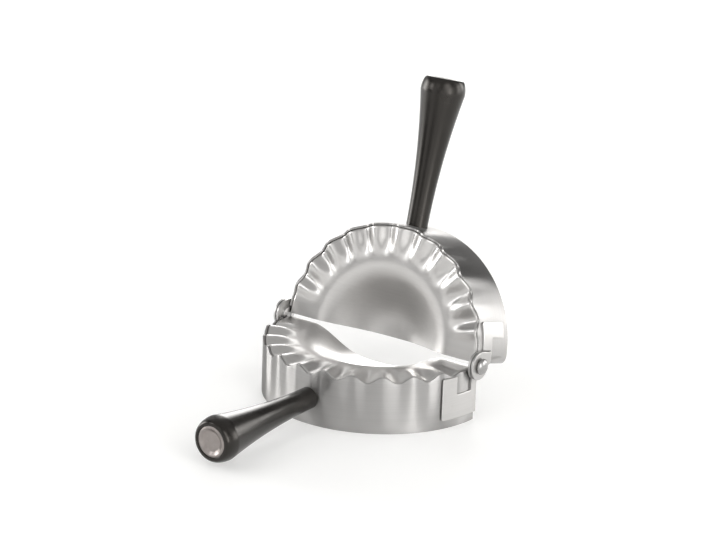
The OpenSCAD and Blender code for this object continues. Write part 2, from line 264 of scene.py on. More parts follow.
world = bpy.data.worlds.new("studio")
scene.world = world
world.use_nodes = True
tree = world.node_tree
tree.nodes.clear()
output = tree.nodes.new("ShaderNodeOutputWorld")
background = tree.nodes.new("ShaderNodeBackground")
background.inputs["Strength"].default_value = WORLD_LEVEL
white = tree.nodes.new("ShaderNodeBackground")
white.inputs["Color"].default_value = (1, 1, 0.995, 1)
mix = tree.nodes.new("ShaderNodeMixShader")
tree.links.new(seen_rays(tree), mix.inputs[0])
tree.links.new(background.outputs[0], mix.inputs[1])
tree.links.new(white.outputs[0], mix.inputs[2])
tree.links.new(mix.outputs[0], output.inputs["Surface"])
scene.view_settings.view_transform = "Standard"
print("world set, view transform", scene.view_settings.view_transform)

# %% [markdown]
# One soft square lamp stands in front, to the left, and faces the press. It makes the bright spot in the dish
# of the front end cap. A brighter card could do that too, but it would leave a streak in the band. The rest
# of the light comes from the dome.

# %% Lamp
LAMP_AZIMUTH, LAMP_ELEVATION = -126, 32
LAMP_DISTANCE, LAMP_SIZE, LAMP_WATTS = 1.2, 0.32, 1.6

a, e = math.radians(LAMP_AZIMUTH), math.radians(LAMP_ELEVATION)
out = Vector((math.cos(a) * math.cos(e), math.sin(a) * math.cos(e), math.sin(e)))
lamp_data = bpy.data.lights.new("front_lamp", "AREA")
lamp_data.size = LAMP_SIZE
lamp_data.energy = LAMP_WATTS
lamp = bpy.data.objects.new("front_lamp", lamp_data)
facing = out.to_track_quat("Z", "Y").to_matrix().to_4x4()
lamp.matrix_world = Matrix.Translation(out * LAMP_DISTANCE) @ facing
scene.collection.objects.link(lamp)
print("lamp at", [round(v, 2) for v in out * LAMP_DISTANCE], "m")

# %% [markdown]
# Most new pieces are a grid of points worked out as one array. This helper puts such a grid into a mesh. A
# grid can close on itself along either direction, as a tube does, and its first and last rows can be capped.
# Its UV map runs along the rows and across them, which the brushed finish follows. Points that a pole brings
# together are merged.

# %% Grid to mesh
MERGE = 1e-7


def smooth_object(name, mesh, merge=0.0):
    """An object of the mesh, shaded smooth, with its faces turned outwards and its near points merged."""
    shape = bmesh.new()
    shape.from_mesh(mesh)
    if merge:
        bmesh.ops.remove_doubles(shape, verts=shape.verts, dist=merge)
    bmesh.ops.recalc_face_normals(shape, faces=shape.faces)
    shape.to_mesh(mesh)
    shape.free()
    mesh.shade_smooth()
    piece = bpy.data.objects.new(name, mesh)
    scene.collection.objects.link(piece)
    return piece


def surface(name, points, wrap_rows=False, wrap_columns=False, cap_ends=False):
    """A mesh object from points[row, column] in millimetres: one quad between each four neighbours. The UV
    map's u is the share of the way along the rows, and v the share across the columns."""
    rows, columns = points.shape[:2]
    index = np.arange(rows * columns).reshape(rows, columns)
    ring = np.vstack([index, index[:1]]) if wrap_rows else index
    ring = np.hstack([ring, ring[:, :1]]) if wrap_columns else ring
    quads = np.stack([ring[:-1, :-1], ring[1:, :-1], ring[1:, 1:], ring[:-1, 1:]], -1).reshape(-1, 4)
    u, v = np.meshgrid(np.linspace(0, 1, ring.shape[0]), np.linspace(0, 1, ring.shape[1]), indexing="ij")
    uv = np.stack([u, v], -1)
    corners = np.stack([uv[:-1, :-1], uv[1:, :-1], uv[1:, 1:], uv[:-1, 1:]], -2).reshape(-1, 4, 2)
    faces = quads.tolist()
    flat = corners.reshape(-1, 2)
    if cap_ends:
        faces += [ring[0, :columns].tolist(), ring[-1, :columns].tolist()[::-1]]
        flat = np.vstack([flat, uv[0, :columns], uv[-1, :columns]])
    mesh = bpy.data.meshes.new(name)
    mesh.from_pydata((points.reshape(-1, 3) * MM).tolist(), [], faces)
    layer = mesh.uv_layers.new(name="along")
    layer.data.foreach_set("uv", flat.astype(np.float32).ravel())
    return smooth_object(name, mesh, MERGE)


def smooth_by_angle(piece, degrees=35):
    """Shades the piece smooth, but for the edges where two faces meet at more than this angle."""
    piece.data.set_sharp_from_angle(angle=math.radians(degrees))


def ease(u):
    """Smooth step: 0 below 0, 1 above 1, and v * v * (3 - 2 * v) between."""
    v = np.clip(u, 0, 1)
    return v * v * (3 - 2 * v)


print("grid helper ready")

# %% [markdown]
# Both halves are drawn on the +Y side, open and flat. The front half is then mirrored over to -Y, and the
# back half is turned up about the pivot. Turning the objects would be simpler, but each piece's place has to
# be in its mesh. So these two helpers do for arrays of points what the hinge does for the real pieces.

# %% Placing a half


def front_place(points):
    """Mirrors points from the +Y side to the -Y side."""
    return points * np.array([1, -1, 1])


def back_place(points):
    """Turns points about the pivot line by the fold angle, right hand about +X."""
    a = math.radians(FOLD)
    y, z = points[..., 1], points[..., 2] - PIVOT_H
    turned = [points[..., 0], y * math.cos(a) - z * math.sin(a), PIVOT_H + y * math.sin(a) + z * math.cos(a)]
    return np.stack(turned, -1)


HALVES = {
    "front": {"side": -1, "end": 0.0, "place": front_place, "body": "front_half"},
    "back": {"side": 1, "end": PARTING, "place": back_place, "body": "back_half"},
}
print("halves:", list(HALVES))

# %% [markdown]
# The rim is a wave. Twelve flutes run round each half, and they die out near the hinge, where the ears are.
# They could be modelled one by one, but a cosine of the angle gives all of them at once, evenly spaced. The
# wave of one half is the other's turned over, so that crests fall into valleys when the press closes.

# %% The fluted rim


def flute_share(angle):
    """Share of the flutes' full height: 0 at the hinge, easing to 1 within twenty degrees."""
    return ease((np.minimum(angle, 180 - angle) - FLUTE_START) / (FLUTE_FULL - FLUTE_START))


def rim_z(angle, side):
    """Height of the rim: its middle height plus the flutes' height times a cosine, at 24 waves a turn."""
    return RIM_H + side * FLUTE_H * flute_share(angle) * np.cos(np.radians(2 * FLUTES * angle))


print("front rim at 90 and 82.5 degrees:", np.round(rim_z(np.array([90.0, 82.5]), -1), 2))

# %% [markdown]
# The band is a strip of steel bent to a half circle. Its cross-section is a tall thin rectangle with softly
# broken edges. A bare strip could be thickened afterwards, but its edges would stay sharp. Carrying the whole
# section round the half circle, with its top following the rim, gives the band in one grid. Near the pivot
# its top is cut away in an arc, so that the rivet's tail can turn, and the back band's lower corners are
# rounded.

# %% Bands
EDGE_TOP, EDGE_LOW = 0.25, 0.22
END_STEPS = np.array([0.0, 0.06, 0.16, 0.3, 0.5])
END_INSET = np.array([0.22, 0.1, 0.03, 0.0, 0.0])
BAND_STEPS = 480
WALL_LEVELS = 9
CORNER_STEPS = 5
NOTCH_STEPS, NOTCH_PAST = 30, 0.8


def corner_arc(inset, steps, start):
    """Quarter circle of that radius as (out, up) steps, from start degrees on, counterclockwise."""
    a = np.radians(start + np.linspace(0, 90, steps))
    return np.stack([inset * np.cos(a), inset * np.sin(a)], -1)


def section_loop(r_in, r_out, low, high, edge_low, edge_top):
    """Closed loop round a wall's cross-section, as (radius, height): each row has its own low and high."""
    low, high = low[:, None], high[:, None]
    parts = []
    for r, centre, sign, start, edge in (
        (r_out, low, 1, 270, edge_low), (r_out, high, -1, 0, edge_top),
        (r_in, high, -1, 90, edge_top), (r_in, low, 1, 180, edge_low),
    ):
        arc = corner_arc(edge, CORNER_STEPS, start)
        across = r + (-edge if r == r_out else edge) + arc[:, 0]
        height = centre + sign * edge + arc[None, :, 1]
        parts.append(np.stack(np.broadcast_arrays(across[None, :], height), -1))
        if start in (270, 90):
            share = np.linspace(0, 1, WALL_LEVELS + 2)[1:-1]
            a, b = (low + edge_low, high - edge_top) if start == 270 else (high - edge_top, low + edge_low)
            parts.append(np.stack(np.broadcast_arrays(np.full((1, WALL_LEVELS), r), a + (b - a) * share), -1))
    return np.concatenate(parts, 1)


def band_points(half):
    """Points of a half's band. For each angle the section reaches from the table, or from the rounded
    corner, up to the lower of the rim and the arc cut out round the pivot."""
    end = half["end"]
    steps = end + END_STEPS
    first = np.degrees(np.arcsin(steps / RING_R))
    dense = np.linspace(steps[-1] + 0.15, NOTCH_R + NOTCH_PAST, NOTCH_STEPS)
    dense = np.degrees(np.arcsin(dense / RING_R))
    inner = np.linspace(dense[-1] + 0.35, 90, BAND_STEPS // 2)
    angles = np.concatenate([first, dense, inner])
    angles = np.concatenate([angles, 180 - angles[-2::-1]])
    inset = np.concatenate([END_INSET, np.zeros(len(angles) // 2 + 1 - len(END_INSET))])
    inset = np.concatenate([inset, inset[-2::-1]])
    y = RING_R * np.sin(np.radians(angles))
    arch = PIVOT_H - np.sqrt(np.clip(NOTCH_R**2 - y**2, 0, None))
    high = np.where(y < NOTCH_R, np.minimum(arch, rim_z(angles, half["side"])), rim_z(angles, half["side"]))
    low = np.zeros_like(high)
    if half["side"] > 0:
        run = np.clip(BACK_CORNER_R - (y - end), 0, BACK_CORNER_R)
        low = BACK_CORNER_R - np.sqrt(BACK_CORNER_R**2 - run**2)
    loop = section_loop(RING_R - BAND_T, RING_R, low, high, EDGE_LOW, EDGE_TOP)
    middle = RING_R - BAND_T / 2
    radius = middle + (loop[..., 0] - middle) * (1 - inset[:, None] / (BAND_T / 2))
    centre = ((low + high) / 2)[:, None]
    tall = ((high - low) / 2)[:, None]
    height = centre + (loop[..., 1] - centre) * (1 - inset[:, None] / tall)
    a = np.radians(angles)[:, None]
    return np.stack([radius * np.cos(a), radius * np.sin(a), height], -1)


bands = {}
for key, half in HALVES.items():
    band = surface(key + "_band_shell", half["place"](band_points(half)), wrap_columns=True, cap_ends=True)
    smooth_by_angle(band)
    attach(band, half["body"])
    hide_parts(key + "_band")
    bands[key] = band
print("bands:", [len(b.data.polygons) for b in bands.values()], "faces")

# %% [markdown]
# The cup is pressed from one sheet. A raised cosine gives the bowl its shape, because it starts and ends
# level, and the flutes grow out of the flange towards the rim. At its edge the sheet bends down into a collar
# that sits inside the band. The same profile, one sheet thickness further in, is its underside, so both faces
# and the collar make one closed loop that is carried round the half circle.

# %% Cups
CUP_SPOKES = 384
CUP_BEND_R = 1.5
COLLAR_LOW = RIM_H - COLLAR_H
CUT_EDGE = 0.16
UPPER_STEPS, UNDER_STEPS, BEND_STEPS, COLLAR_STEPS = 64, 48, 7, 6


def bowl_z(radius):
    """Depth of the bowl: half of 1 + cosine, which falls from full depth at the middle to 0 at its edge."""
    share = np.clip(radius / BOWL_R, 0, 1) ** BOWL_POWER
    return BOWL_DEPTH * (1 + np.cos(np.pi * share)) / 2


def cup_z(radius, angle, side):
    """Height of the cup's upper face: the rim's height, less the bowl, with the flutes fading inwards."""
    reach = ease((radius - BOWL_R) / (FLUTE_REACH * FLANGE_W))
    return RIM_H - bowl_z(radius) + (rim_z(angle, side) - RIM_H) * reach


def cup_profile():
    """Loop of the cup's section as (radius, drop below the upper face, share of the collar): the upper face
    outwards, a quarter bend, the collar's outside and inside, and the underside back to the middle."""
    bend = np.radians(np.linspace(90, 0, BEND_STEPS))
    out = CUP_R - CUP_BEND_R
    upper = [(r, 0.0, 0.0) for r in np.linspace(0, out, UPPER_STEPS)[:-1]]
    upper += [(out + CUP_BEND_R * np.cos(a), CUP_BEND_R * (1 - np.sin(a)), 0.0) for a in bend]
    outside = [(CUP_R, CUP_BEND_R, s) for s in np.linspace(0, 1, COLLAR_STEPS)[1:]]
    small = CUP_BEND_R - SHEET_T
    inside = [(CUP_R - SHEET_T, CUP_BEND_R, s) for s in np.linspace(1, 0, COLLAR_STEPS)]
    under = [(out + small * np.cos(a), CUP_BEND_R - small * np.sin(a), 0.0) for a in bend[::-1][1:]]
    under += [(r, SHEET_T, 0.0) for r in np.linspace(out, 0, UNDER_STEPS)[1:]]
    return np.array(upper + outside + inside + under)


def cup_points(half):
    """Points of a half's cup: the profile on each spoke, cut off straight at the half's end, with the cut
    edge broken by drawing the last row in a little."""
    radius, drop, collar = cup_profile().T
    start = np.degrees(np.arcsin(np.clip((half["end"] + CUT_EDGE) / np.maximum(radius, 1e-6), 0, 1)))
    share = np.linspace(0, 1, CUP_SPOKES)[:, None]
    angle = start + (180 - 2 * start) * share
    height = cup_z(radius, angle, half["side"]) - drop
    height = height + (COLLAR_LOW - height) * collar
    x = radius * np.cos(np.radians(angle))
    y = np.maximum(radius * np.sin(np.radians(angle)), half["end"] + CUT_EDGE)
    body = np.stack([x, y, height], -1)
    under = np.arange(len(radius)) > np.argmax(collar)
    edge = body[[0, -1]].copy()
    edge[..., 1] = half["end"]
    edge[..., 2] += np.where(under, CUT_EDGE, -CUT_EDGE)
    return np.concatenate([edge[:1], body, edge[1:]])


cups = {}
for key, half in HALVES.items():
    cup = surface(key + "_cup_shell", half["place"](cup_points(half)), wrap_columns=True, cap_ends=True)
    smooth_by_angle(cup, 40)
    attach(cup, half["body"])
    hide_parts(key + "_cup")
    cups[key] = cup
print("cups:", [len(c.data.polygons) for c in cups.values()], "faces")

# %% [markdown]
# The grips are turned shapes: a profile swung round the handle's line. The profile is a parabola from the
# thin neck to the thick end, then a rounded shoulder and the flat end face with a socket for the steel cap.
# A curve with handles could do it too, but a formula keeps the neck and the belly at their measured sizes.
# Where the grip meets the band its last ring is bent to the band's curve, so that no light shows between.

# %% Grips
HANDLE_L = -RING_R - box_mm("front_grip")[0][1]
HANDLE_H = (box_mm("front_grip")[0][2] + box_mm("front_grip")[1][2]) / 2
NECK_R, BELLY_R = 6.6, 13.64
BELLY_BACK = 8.5
END_R = 10.62
CAP_R = 9.3
SOCKET_DEPTH = 4.6
GRIP_GAP = 0.02
FLARE_STEPS, SHOULDER_STEPS = 60, 20
ROUND = np.linspace(0, 2 * np.pi, 96, endpoint=False)[:, None]


def along_handle(profile):
    """Swings a profile of (radius, distance from the band) round the handle's line, which runs out along +Y
    at the handle's height."""
    radius, out = profile.T
    x, z = radius * np.cos(ROUND), HANDLE_H + radius * np.sin(ROUND)
    return np.stack(np.broadcast_arrays(x, RING_R + out, z), -1)


def grip_profile():
    """(radius, distance from the band) of the grip: neck, parabola, elliptic shoulder, end face, a small
    bevel into the socket, and the socket."""
    belly_at = HANDLE_L - BELLY_BACK
    t = np.linspace(0, belly_at, FLARE_STEPS)
    flare = np.stack([NECK_R + (BELLY_R - NECK_R) * (t / belly_at) ** 2, t], -1)
    a = np.radians(np.linspace(0, 90, SHOULDER_STEPS))[1:]
    shoulder = np.stack([END_R + (BELLY_R - END_R) * np.cos(a), belly_at + BELLY_BACK * np.sin(a)], -1)
    socket = np.array([
        [CAP_R + 0.45, HANDLE_L], [CAP_R + 0.2, HANDLE_L - 0.1], [CAP_R + 0.06, HANDLE_L - 0.35],
        [CAP_R + 0.04, HANDLE_L - SOCKET_DEPTH], [0, HANDLE_L - SOCKET_DEPTH],
    ])
    return np.concatenate([flare, shoulder, socket])


def grip_points():
    """The swung profile, closed at the band by rings that follow the band's outer face."""
    profile = grip_profile()
    points = along_handle(profile)
    saddle = np.sqrt(RING_R**2 - points[:, 0, 0] ** 2)
    points[:, 0, 1] = saddle + GRIP_GAP
    inner = points[:, :1].copy()
    inner[..., 0] = 0
    inner[..., 2] = HANDLE_H
    inner[..., 1] = RING_R + GRIP_GAP
    return np.concatenate([inner, points], 1)


grips = {}
for key, half in HALVES.items():
    grip = surface(key + "_grip_shell", half["place"](grip_points()), wrap_rows=True)
    smooth_by_angle(grip, 40)
    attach(grip, half["body"])
    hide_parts(key + "_grip")
    grips[key] = grip
print("grips:", round(HANDLE_L, 2), "mm long at height", round(HANDLE_H, 2))

# %% [markdown]
# The end caps are turned from steel: a bevel, a narrow flat rim, and a dished face. Part of a ball would be
# the simplest dish, but it spreads the light over the whole face. This one is flat in the middle, and its
# slope grows towards the rim, which is what catches one bright spot in its lower side.

# %% End caps
CAP_BEVEL, CAP_RIM, CAP_T = 0.8, 0.6, 3.0
DISH_FLAT, DISH_STEEP, DISH_SLOPE = 4.4, 7.0, 0.8
DISH_STEPS = 40


def cap_profile():
    """(radius, distance from the band) of a cap, from the back of its disc round the rim to the middle. The
    dish falls away from the rim as the sum of its slope, which eases from 0 to its full value."""
    face = HANDLE_L
    dish_r = CAP_R - CAP_BEVEL - CAP_RIM
    rim = np.array([
        [0, face - CAP_T], [CAP_R, face - CAP_T], [CAP_R, face - CAP_BEVEL / 2 - 0.15],
        [CAP_R - 0.06, face - 0.4], [CAP_R - CAP_BEVEL + 0.1, face - 0.04], [CAP_R - CAP_BEVEL, face],
        [dish_r + 0.12, face],
    ])
    radius = np.linspace(dish_r, 0, DISH_STEPS)
    slope = DISH_SLOPE * ease((radius - DISH_FLAT) / (DISH_STEEP - DISH_FLAT))
    fall = np.concatenate([[0], np.cumsum((slope[1:] + slope[:-1]) / 2 * -np.diff(radius))])
    return np.concatenate([rim, np.stack([radius, face - 0.04 - fall], -1)])


caps = {}
for key, half in HALVES.items():
    cap = surface(key + "_end_cap_disc", half["place"](along_handle(cap_profile())), wrap_rows=True)
    smooth_by_angle(cap, 25)
    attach(cap, half["body"])
    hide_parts(key + "_end_cap")
    caps[key] = cap
print("caps:", [len(c.data.polygons) for c in caps.values()], "faces")

# %% [markdown]
# The rivets have a domed head with a short upright edge, a shank through both ears, and a closed tail. One
# profile swung round the pivot gives all of it as a single closed skin.

# %% Rivets
HEAD_R, SHANK_R, TAIL_R = 4.9, 2.5, 4.0
HEAD_H, HEAD_EDGE = 3.6, 1.1
UNDERCUT = 1.0
rivet_low, rivet_high = box_mm("hinge_rivet_right")
TAIL_X, DOME_X = rivet_low[0], rivet_high[0]
HEAD_X = DOME_X - HEAD_H
TAIL_T, TAIL_BEVEL = 0.8, 0.25
DOME_POWER = 2.3
HEAD_STEPS = 28


def along_pivot(profile, sign):
    """Swings a profile of (radius, distance from the middle plane) round the pivot line, on the right side
    for sign 1 and on the left for sign -1."""
    radius, out = profile.T
    y, z = radius * np.cos(ROUND), PIVOT_H + radius * np.sin(ROUND)
    return np.stack(np.broadcast_arrays(sign * out, y, z), -1)


def rivet_profile():
    """(radius, distance) of a rivet: tail, shank, head's edge, and a flattened dome, whose height goes as the
    square root of 1 less a power of the radius."""
    r = HEAD_R * np.sin(np.linspace(np.pi / 2, 0, HEAD_STEPS))
    dome = HEAD_X + HEAD_EDGE + (HEAD_H - HEAD_EDGE) * np.sqrt(1 - (r / HEAD_R) ** DOME_POWER)
    tail = [
        [0, TAIL_X], [TAIL_R - TAIL_BEVEL, TAIL_X], [TAIL_R, TAIL_X + TAIL_BEVEL],
        [TAIL_R, TAIL_X + TAIL_T], [SHANK_R, TAIL_X + TAIL_T], [SHANK_R, HEAD_X],
        [HEAD_R - UNDERCUT, HEAD_X], [HEAD_R, HEAD_X + UNDERCUT],
    ]
    return np.concatenate([np.array(tail), np.stack([r, dome], -1)])


for word, sign in (("right", 1), ("left", -1)):
    rivet = surface("rivet_" + word, along_pivot(rivet_profile(), sign), wrap_rows=True)
    smooth_by_angle(rivet, 50)
    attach(rivet, "back_half")
    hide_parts("hinge_rivet_" + word)
print("rivets from x", round(TAIL_X, 2), "to", round(DOME_X, 2))

# %% [markdown]
# A hinge plate is stamped from sheet. It is easiest to draw flat, as the toolmaker does: as an outline in
# millimetres round the band and up it, with a round ear. The front plate has a window beside its ear. The
# back plate is a flag on a narrower stem, and a slit in the stem sets the ear free. A triangulation fills the
# outline with an even net of points. Each point is then bent onto the band, or pressed out to the ear's
# level. A grid of rows and columns would be simpler, but it can't follow a window and an ear.

# %% Hinge plates
NET = 0.42
ROLL = 0.3
SLIT = 0.1
EAR_RUN = 2.5
PLATE_GAP = 0.01
UV_SPAN = 30
WELD_R, WELD_DEPTH = 1.6, 0.1
EAR_STEPS, ROUNDING_STEPS, HOLE_STEPS = 90, 7, 40
CLEAR_EDGE, CLEAR_HOLE = 0.05, 0.2
FRONT_EAR_X = box_mm("front_hinge_plate_right")[1][0] - PLATE_T
BACK_EAR_X = box_mm("back_hinge_plate_right")[1][0] - PLATE_T


def ear_arc(first, last):
    """Points round the ear from one angle to another, as corners without rounding."""
    a = np.radians(np.linspace(first, last, EAR_STEPS))
    return np.stack([EAR_R * np.cos(a), PIVOT_H + EAR_R * np.sin(a), 0 * a], -1)


def rounded(corners):
    """Outline through corners given as (round the band, up, rounding). Each corner becomes a short parabola
    that starts and ends as far from it as its rounding says."""
    at = np.array(corners)
    p, rounding = at[:, :2], at[:, 2, None, None]
    before, after = np.roll(p, 1, 0) - p, np.roll(p, -1, 0) - p
    before, after = (d / np.hypot(*d.T)[:, None] for d in (before, after))
    k = np.linspace(0, 1, ROUNDING_STEPS)[:, None]
    points = (p[:, None] + rounding * ((1 - k) ** 2 * before[:, None] + k**2 * after[:, None])).reshape(-1, 2)
    return points[np.hypot(*(points - np.roll(points, 1, 0)).T) > 1e-6]


def walk(points, step):
    """The closed outline with new points along it, about a step apart."""
    ahead = np.roll(points, -1, 0)
    pieces = []
    for a, b in zip(points, ahead):
        n = max(1, int(np.hypot(*(b - a)) / step))
        pieces.append(a + (b - a) * (np.arange(n) / n)[:, None])
    return np.concatenate(pieces)


def edge_distance(points, loop):
    """Distance of each point from the nearest stretch of the closed loop."""
    a, b = loop, np.roll(loop, -1, 0)
    d = b - a
    t = ((points[:, None] - a) * d).sum(-1) / np.maximum((d * d).sum(-1), 1e-12)
    near = a + np.clip(t, 0, 1)[..., None] * d
    return np.hypot(*np.moveaxis(points[:, None] - near, -1, 0)).min(1)


def inside_loop(points, loop):
    """True for the points inside the closed loop: a ray to the right crosses it an odd number of times."""
    a, b = loop, np.roll(loop, -1, 0)
    x, y = points[:, 0, None], points[:, 1, None]
    spans = (a[:, 1] > y) != (b[:, 1] > y)
    rise = np.where(b[:, 1] == a[:, 1], 1e-12, b[:, 1] - a[:, 1])
    cross = a[:, 0] + (y - a[:, 1]) / rise * (b[:, 0] - a[:, 0])
    return (spans & (x < cross)).sum(1) % 2 == 1


def flat_net(loop):
    """Even net of points inside the loop, its edge points, rings of points beside the edge for the rolled
    edge, and the rivet hole. Returns points, triangles, and how many points lie on the edge and the hole."""
    edge = walk(loop, NET)
    turn_a = np.linspace(0, 2 * np.pi, HOLE_STEPS, endpoint=False)
    hole = np.stack([RIVET_HOLE_R * np.cos(turn_a), PIVOT_H + RIVET_HOLE_R * np.sin(turn_a)], -1)
    ahead = np.roll(edge, -1, 0) - np.roll(edge, 1, 0)
    inward = np.stack([-ahead[:, 1], ahead[:, 0]], -1) / np.hypot(*ahead.T)[:, None]
    rings = np.concatenate([edge + inward * d for d in (ROLL * 0.3, ROLL)])
    low, high = loop.min(0), loop.max(0)
    u, v = np.meshgrid(np.arange(low[0], high[0], NET), np.arange(low[1], high[1], NET * 0.9))
    u = u + (np.arange(u.shape[0]) % 2)[:, None] * NET / 2
    grid = np.stack([u.ravel(), v.ravel()], -1)
    spare = np.concatenate([rings, grid])
    spare = spare[inside_loop(spare, edge)]
    away = edge_distance(spare, edge)
    from_pivot = np.hypot(spare[:, 0], spare[:, 1] - PIVOT_H)
    is_ring = np.arange(len(spare)) < np.count_nonzero(inside_loop(rings, edge))
    keep = (away > np.where(is_ring, CLEAR_EDGE, ROLL + NET * 0.4)) & (from_pivot > RIVET_HOLE_R + CLEAR_HOLE)
    points = np.concatenate([edge, hole, spare[keep]])
    n, m = len(edge), len(hole)
    ring_edges = [(i, (i + 1) % n) for i in range(n)] + [(n + i, n + (i + 1) % m) for i in range(m)]
    made = delaunay_2d_cdt([Vector(p) for p in points], ring_edges, [list(range(n))], 1, 1e-6)
    points = np.array([tuple(p) for p in made[0]])
    triangles = np.array([f for f in made[2] if len(f) == 3])
    middle = points[triangles].mean(1)
    triangles = triangles[np.hypot(middle[:, 0], middle[:, 1] - PIVOT_H) > RIVET_HOLE_R * 0.999]
    return points, triangles, n, m


def bend_front(s, z):
    """How far a point of the front plate belongs to the ear's flat level: 1 on the ear, easing to 0 in a
    short run outside it."""
    return 1 - ease((np.hypot(s, z - PIVOT_H) - EAR_R) / EAR_RUN)


def bend_back(s, z):
    """The same for the back plate: between the near end and the slit it eases from 0 to 1 up the bend."""
    return ease((z - BEND_LOW) / (BEND_TOP - BEND_LOW)) * (s < EAR_R + SLIT / 2)


def bend_plate(flat, height, ear_x, bend):
    """Puts flat points on the band, or on the ear's level. On the band a point's distance round turns into an
    angle, and its height stands out along the radius. On the ear, height stands out along X."""
    s, z = flat[:, 0], flat[:, 1]
    a = s / RING_R
    on_band = np.stack([(RING_R + height) * np.cos(a), (RING_R + height) * np.sin(a), z], -1)
    on_ear = np.stack([ear_x + height, s, z], -1)
    return on_band + (on_ear - on_band) * bend(s, z)[:, None]


BEND_TOP = PIVOT_H - EAR_R - 0.6
BEND_LOW = BEND_TOP - 4.2
CORNER = 1.6
FRONT_LOW, FRONT_HIGH, FRONT_L = 5.5, RIM_H - 1.6, 27.5
BACK_LOW, BACK_HIGH, BACK_L = 6.5, RIM_H - 3.5, 25.4
WINDOW_FROM, WINDOW_TO, SILL = 5.2, 17.0, 20.3
STEM_L, STEM_LOW = 16.0, BEND_LOW - 1.2
SLIT_END, SLIT_CORNER = BEND_LOW + 0.2, SLIT * 0.4
FRONT_START, BACK_START = 0.05, PARTING + 0.05
FRONT_EAR_FROM = -math.degrees(math.acos(WINDOW_FROM / EAR_R))
FRONT_EAR_TO = 270 + math.degrees(FRONT_START / EAR_R)
BACK_EAR_TO = 270 + math.degrees(math.asin(BACK_START / EAR_R))
PLATES = {
    "front": {
        "outline": rounded([
            (FRONT_START, FRONT_LOW, 0.4), (FRONT_L, FRONT_LOW, CORNER), (FRONT_L, FRONT_HIGH, CORNER),
            (WINDOW_TO, FRONT_HIGH, 0.5), (WINDOW_TO, SILL, 0.9), (WINDOW_FROM, SILL, 0.9),
            *ear_arc(FRONT_EAR_FROM, FRONT_EAR_TO),
        ]),
        "ear_x": FRONT_EAR_X, "bend": bend_front, "welds": [(20.8, 13.5), (20.8, 25.3)], "lift": 0.4,
    },
    "back": {
        "outline": rounded([
            (BACK_START, STEM_LOW, 0.4), (STEM_L, STEM_LOW, 1.0), (STEM_L, BACK_LOW, 1.0),
            (BACK_L, BACK_LOW, CORNER), (BACK_L, BACK_HIGH, CORNER), (EAR_R + SLIT, BACK_HIGH, 0.6),
            (EAR_R + SLIT, SLIT_END, SLIT_CORNER), (EAR_R, SLIT_END, SLIT_CORNER),
            *ear_arc(0, BACK_EAR_TO),
        ]),
        "ear_x": BACK_EAR_X, "bend": bend_back, "welds": [(20.7, 11.5), (20.7, 23.5)], "lift": 0.0,
    },
}


def plate_mesh(name, spec, place, sign):
    """A closed plate: the outer face, the inner face, and walls round the outline and the rivet hole. The UV
    map's u runs round the band and its v up it, in spans."""
    flat, triangles, n, m = flat_net(spec["outline"])
    d = edge_distance(flat, walk(spec["outline"], NET))
    height = np.full(len(flat), PLATE_T)
    for s, z in spec["welds"]:
        height -= WELD_DEPTH * (1 - ease(np.hypot(flat[:, 0] - s, flat[:, 1] - z) / WELD_R))
    round_off = ROLL * (1 - np.sqrt(np.clip(1 - (1 - np.clip(d / ROLL, 0, 1)) ** 2, 0, 1)))
    outer = bend_plate(flat, height - round_off, spec["ear_x"], spec["bend"])
    gap = PLATE_GAP + spec["lift"] * ease((flat[:, 0] - flat[:, 0].max() + EAR_RUN) / EAR_RUN)
    inner = bend_plate(flat, gap, spec["ear_x"], spec["bend"])
    count = len(flat)
    walls = []
    for first, size in ((0, n), (n, m)):
        i = np.arange(size)
        a, b = first + i, first + (i + 1) % size
        walls.append(np.stack([a, b, b + count, a + count], -1))
    points = place(np.concatenate([outer, inner]) * np.array([sign, 1, 1]))
    faces = triangles.tolist() + (triangles[:, ::-1] + count).tolist() + np.concatenate(walls).tolist()
    mesh = bpy.data.meshes.new(name)
    mesh.from_pydata((points * MM).tolist(), [], faces)
    corners = np.concatenate([np.ravel(face) for face in faces])
    mesh.polygons.foreach_set("material_index", np.repeat([0, 1], [2 * len(triangles), n + m]))
    layer = mesh.uv_layers.new(name="along")
    layer.data.foreach_set("uv", (np.tile(flat, (2, 1))[corners] / UV_SPAN).astype(np.float32).ravel())
    return smooth_object(name, mesh)


plates = []
for key, half in HALVES.items():
    for word, sign in (("right", 1), ("left", -1)):
        plate = plate_mesh(f"{key}_plate_{word}", PLATES[key], half["place"], sign)
        smooth_by_angle(plate, 40)
        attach(plate, half["body"])
        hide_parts(f"{key}_hinge_plate_{word}")
        plates.append(plate)
print("plates:", [len(p.data.polygons) for p in plates], "faces")

# %% [markdown]
# Two effects are shared by several materials, so each is a node group with named inputs. The first draws
# brush marks: fine noise that is stretched along the sheet and squeezed across it. The second is handling:
# broad soft patches where fingers and cloths have changed the gloss a little.

# %% Shared node groups


def group_sockets(group, inputs, outputs):
    """Adds named sockets to a node group: inputs as (name, kind, value), outputs as (name, kind)."""
    for name, kind, value in inputs:
        socket = group.interface.new_socket(name, in_out="INPUT", socket_type=kind)
        if value is not None:
            socket.default_value = value
    for name, kind in outputs:
        group.interface.new_socket(name, in_out="OUTPUT", socket_type=kind)
    return group.nodes.new("NodeGroupInput"), group.nodes.new("NodeGroupOutput")


